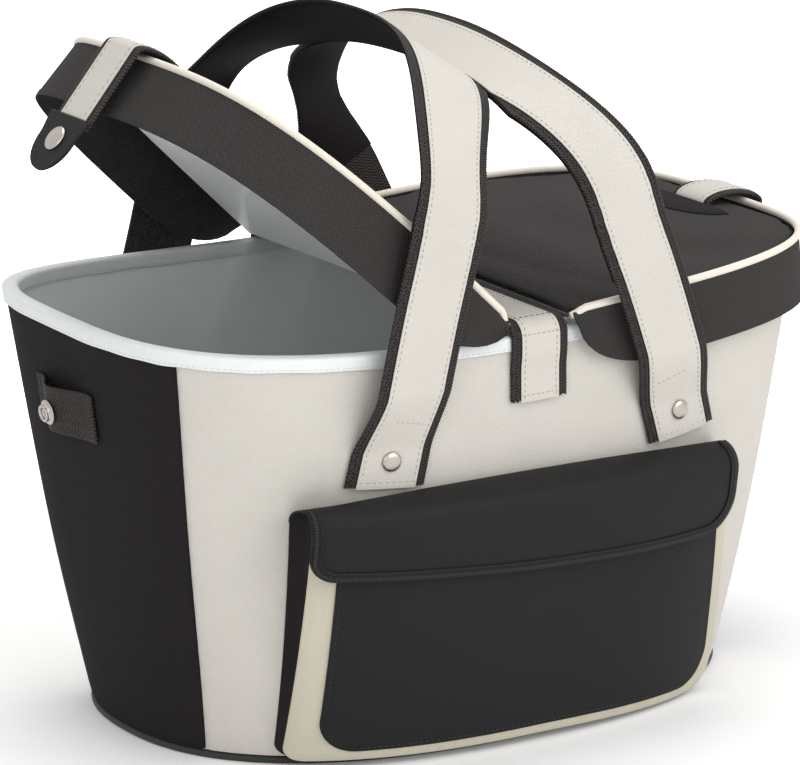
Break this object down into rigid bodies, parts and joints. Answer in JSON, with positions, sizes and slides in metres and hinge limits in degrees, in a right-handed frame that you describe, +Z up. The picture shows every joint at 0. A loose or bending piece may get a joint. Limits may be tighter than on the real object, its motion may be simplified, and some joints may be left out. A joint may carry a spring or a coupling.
{
  "type": "picnic cooler bag",
  "caption": "Tapered insulated picnic bag with two hinged padded lids, snap tabs, webbing carry handle, front pocket with flap and webbing end loops.",
  "frame": {"origin": "centre of the flat base where it stands on the floor", "axes": "+X to the bag's right end seen from the pocket side, +Y to the rear, +Z up"},
  "size_m": [0.4894, 0.3328, 0.4078],
  "materials": {
    "cream_fabric": "woven",
    "black_fabric": "woven",
    "black_webbing": "woven",
    "board": "matte",
    "foam": "matte",
    "white_lining": "smooth coated",
    "pocket_cream": "woven",
    "pocket_black": "woven",
    "handle_lining": "woven",
    "nickel": "brushed",
    "lid_fabric": "woven",
    "cream_piping": "woven"
  },
  "bodies": {
    "tub": {"front_panel": "cream_fabric", "rear_panel": "cream_fabric", "left_end_panel": "black_fabric", "right_end_panel": "black_fabric", "base_panel": "black_fabric", "base_piping": "black_webbing", "base_board": "board", "wall_foam": "foam", "liner": "white_lining", "rim_binding": "white_lining", "centre_strap_webbing": "black_webbing", "centre_strap_overlay": "cream_fabric", "pocket_gusset": "black_fabric", "pocket_front": "pocket_cream", "pocket_inset_panel": "pocket_black", "pocket_hook_tape": "black_webbing", "pocket_flap_root": "pocket_black", "left_handle_webbing": "black_webbing", "right_handle_webbing": "black_webbing", "handle_overlay": "cream_fabric", "handle_lining": "handle_lining", "front_left_rivet": "nickel", "front_right_rivet": "nickel", "rear_left_rivet": "nickel", "rear_right_rivet": "nickel", "left_end_loop": "black_webbing", "left_snap_stud": "nickel", "right_end_loop": "black_webbing", "right_snap_stud": "nickel"},
    "flap": {"pocket_flap": "pocket_black", "pocket_flap_binding": "black_webbing", "pocket_loop_tape": "black_webbing"},
    "left_lid": {"left_lid_binding": "black_fabric", "left_lid_top": "lid_fabric", "left_lid_board": "foam", "left_lid_lining": "white_lining", "left_lid_skirt": "lid_fabric", "left_lid_piping": "cream_piping", "left_lid_patch": "black_fabric", "left_pull_webbing": "black_webbing", "left_pull_overlay": "cream_fabric"},
    "left_tab": {"left_tab_webbing": "black_webbing", "left_tab_overlay": "cream_fabric", "left_tab_end": "pocket_black", "left_snap_cap": "nickel"},
    "right_lid": {"right_lid_binding": "black_fabric", "right_lid_top": "lid_fabric", "right_lid_board": "foam", "right_lid_lining": "white_lining", "right_lid_skirt": "lid_fabric", "right_lid_piping": "cream_piping", "right_lid_patch": "black_fabric", "right_pull_webbing": "black_webbing", "right_pull_overlay": "cream_fabric"},
    "right_tab": {"right_tab_webbing": "black_webbing", "right_tab_overlay": "cream_fabric", "right_tab_end": "pocket_black", "right_snap_cap": "nickel"}
  },
  "joints": [
    {"name": "left_lid_hinge", "type": "hinge", "parent": "tub", "child": "left_lid", "pos_m": [-0.0202, 0, 0.2475], "axis": [0, 1, 0], "range_deg": [-40, 2]},
    {"name": "right_lid_hinge", "type": "hinge", "parent": "tub", "child": "right_lid", "pos_m": [0.0202, 0, 0.2475], "axis": [0, -1, 0], "range_deg": [0, 42]},
    {"name": "pocket_flap_hinge", "type": "hinge", "parent": "tub", "child": "flap", "pos_m": [0, -0.14483, 0.1623], "axis": [-1, 0, 0], "range_deg": [0, 80]},
    {"name": "left_tab_fold", "type": "hinge", "parent": "left_lid", "child": "left_tab", "pos_m": [-0.18501, 0, 0.40211], "axis": [0, 1, 0], "range_deg": [0, 85]},
    {"name": "right_tab_fold", "type": "hinge", "parent": "right_lid", "child": "right_tab", "pos_m": [0.24583, 0, 0.26], "axis": [0, -1, 0], "range_deg": [0, 85]}
  ]
}
